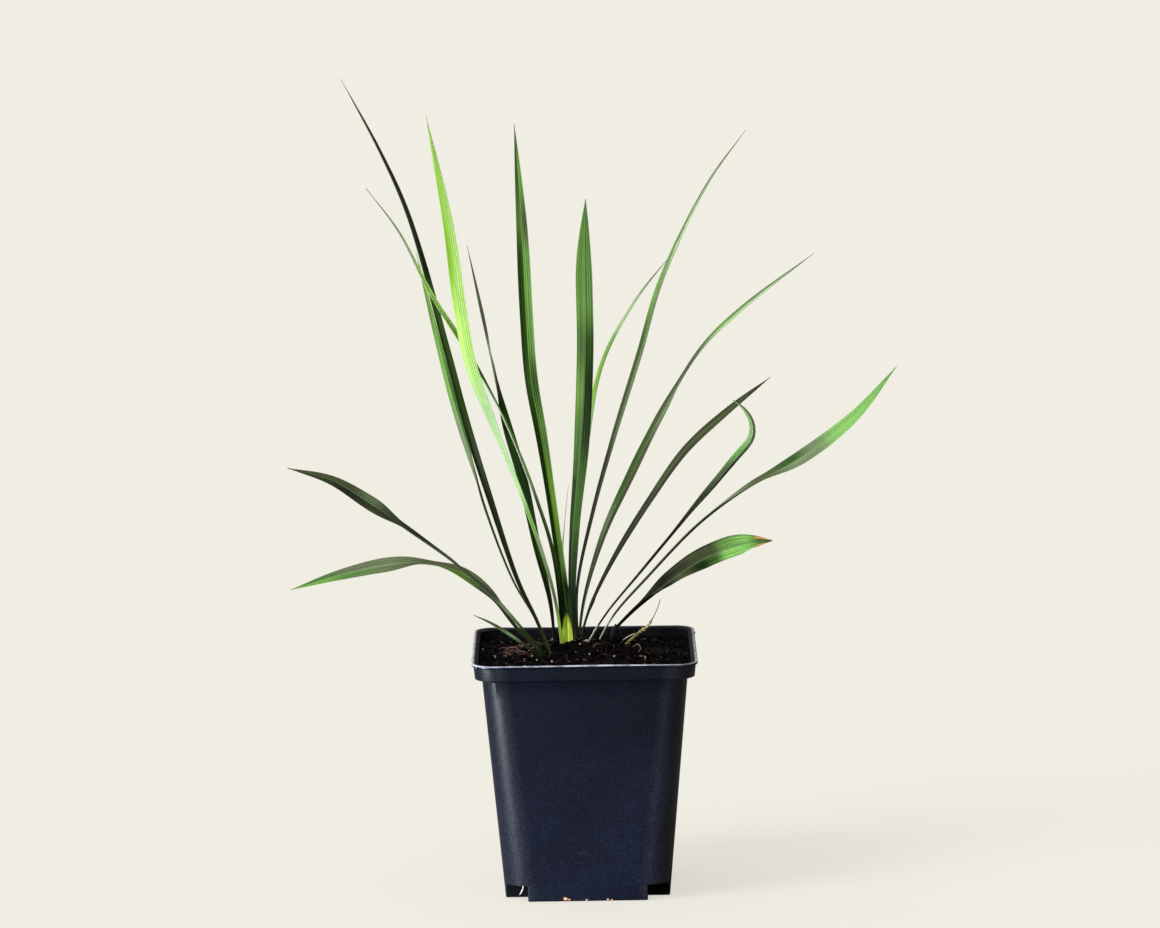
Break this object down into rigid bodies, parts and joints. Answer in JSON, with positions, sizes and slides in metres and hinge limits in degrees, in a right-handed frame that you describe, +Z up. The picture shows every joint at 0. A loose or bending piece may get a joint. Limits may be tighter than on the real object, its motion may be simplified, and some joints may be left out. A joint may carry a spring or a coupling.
{
  "type": "potted lilyturf plant",
  "caption": "Young lilyturf plant: an open clump of long narrow arching leaves in a square black nursery pot filled with dark peat.",
  "frame": {"origin": "middle of the flat underside of the pot", "axes": "+Z up along the pot's height, +X to the right and +Y away from the side the picture shows"},
  "size_m": [0.2461, 0.1507, 0.3272],
  "materials": {
    "pot_plastic": "fine-grained black-blue, satin at the edges",
    "peat": "rough, crumbly and dark",
    "leaf_green": "satin leaf with fine lengthwise veins",
    "leaf_lit": "satin leaf with fine lengthwise veins",
    "leaf_lime": "satin leaf with fine lengthwise veins",
    "leaf_dark": "satin leaf with fine lengthwise veins",
    "leaf_olive": "matt grey-green leaf underside",
    "sheath": "smooth, bright and slightly translucent",
    "dry_straw": "dry and matt"
  },
  "bodies": {
    "root": {"pot": "pot_plastic", "soil": "peat", "leaf_left_tall": "leaf_dark", "leaf_left_lit": "leaf_lit", "leaf_left_thin": "leaf_lime", "leaf_lime": "leaf_lime", "leaf_left_inner": "leaf_dark", "leaf_centre_tall": "leaf_green", "leaf_centre_broad": "leaf_green", "leaf_right_lime": "leaf_lime", "leaf_right_tall": "leaf_green", "leaf_right_long": "leaf_green", "leaf_right_dark": "leaf_olive", "leaf_right_hooked": "leaf_lit", "leaf_right_reaching": "leaf_lit", "leaf_right_pleated": "leaf_green", "leaf_left_low_dark": "leaf_olive", "leaf_left_low_green": "leaf_lit", "leaf_left_short": "leaf_dark", "leaf_spear": "leaf_dark", "basal_sheath": "sheath", "dry_sprout": "dry_straw"}
  },
  "joints": []
}
